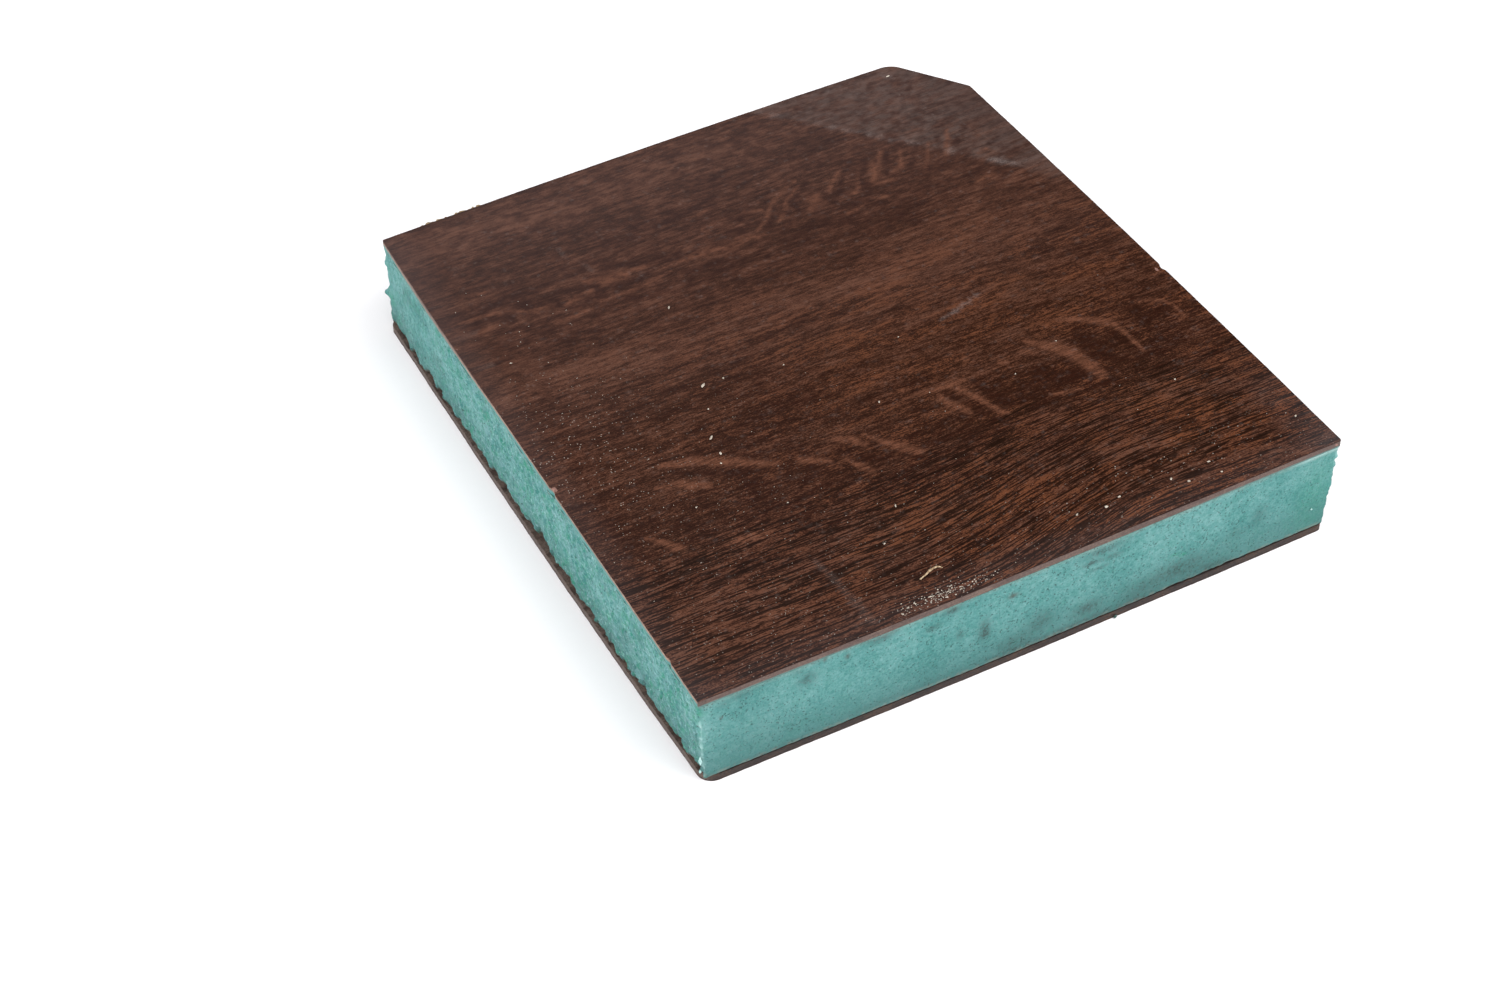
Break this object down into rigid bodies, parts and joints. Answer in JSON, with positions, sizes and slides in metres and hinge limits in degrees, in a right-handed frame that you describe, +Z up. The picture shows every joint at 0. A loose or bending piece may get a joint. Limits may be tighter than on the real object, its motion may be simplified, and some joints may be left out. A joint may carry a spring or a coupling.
{
  "type": "foam core sandwich wall panel",
  "caption": "Flat square-cut sandwich wall panel piece: foam core faced above and below with PVC sheet and printed wood-grain foil, with a clipped corner.",
  "frame": {"origin": "middle of the panel's box on the floor, at the underside", "axes": "+Z up from the underside to the show face, +X along the front edge to the right, +Y from the front edge to the back edge"},
  "size_m": [0.1414, 0.1517, 0.024],
  "materials": {
    "decor_foil": "satin embossed film, printed with dark wood grain",
    "pvc_sheet_face": "sawn edge of mass-coloured rigid PVC, dull mauve brown",
    "pvc_sheet_underside": "sawn edge of mass-coloured rigid PVC, dull dark brown",
    "foam_core": "sawn closed-cell foam, matt blue-green"
  },
  "bodies": {
    "root": {"underside_decor_foil": "decor_foil", "underside_pvc_sheet": "pvc_sheet_underside", "foam_core": "foam_core", "face_pvc_sheet": "pvc_sheet_face", "face_decor_foil": "decor_foil"}
  },
  "joints": []
}
